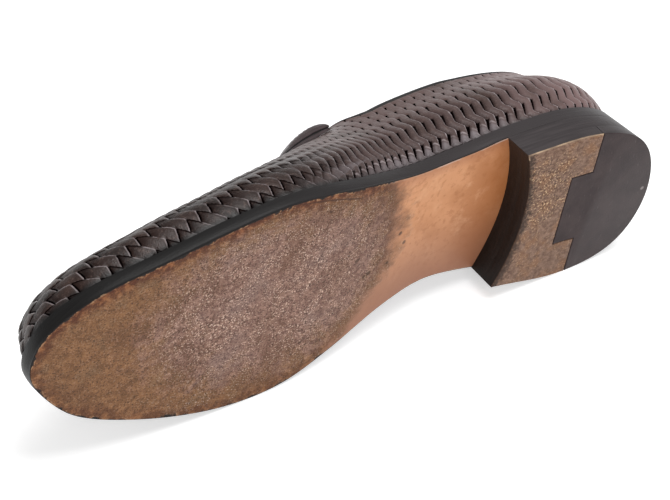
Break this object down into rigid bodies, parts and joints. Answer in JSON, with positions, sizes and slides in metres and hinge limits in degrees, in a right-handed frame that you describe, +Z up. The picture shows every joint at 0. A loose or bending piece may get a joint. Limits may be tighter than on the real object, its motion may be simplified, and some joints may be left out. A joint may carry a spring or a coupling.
{
  "type": "loafer",
  "caption": "Left woven-leather loafer lying on its inner side: hollow woven upper, leather outsole, low stacked heel with rubber top piece, instep strap and bound collar.",
  "frame": {"origin": "bottom centre of the bounding box of the shoe as it lies on its inner side", "axes": "+X from heel to toe, +Y towards the tread of the sole, +Z up, which is towards the outer side of the foot"},
  "size_m": [0.3002, 0.0784, 0.1019],
  "materials": {
    "woven_leather": "satin woven strips",
    "smooth_leather": "satin smooth",
    "sole_leather": "worn sole leather with dark inked edge",
    "heel_leather": "painted stacked leather",
    "lift_leather": "worn speckled leather",
    "lift_rubber": "worn matt",
    "insole_leather": "smooth matt"
  },
  "bodies": {
    "root": {"upper": "woven_leather", "collar_binding": "smooth_leather", "throat_strap": "smooth_leather", "outsole": "sole_leather", "heel_stack": "heel_leather", "heel_lift_leather": "lift_leather", "heel_lift_rubber": "lift_rubber", "insole": "insole_leather"}
  },
  "joints": []
}
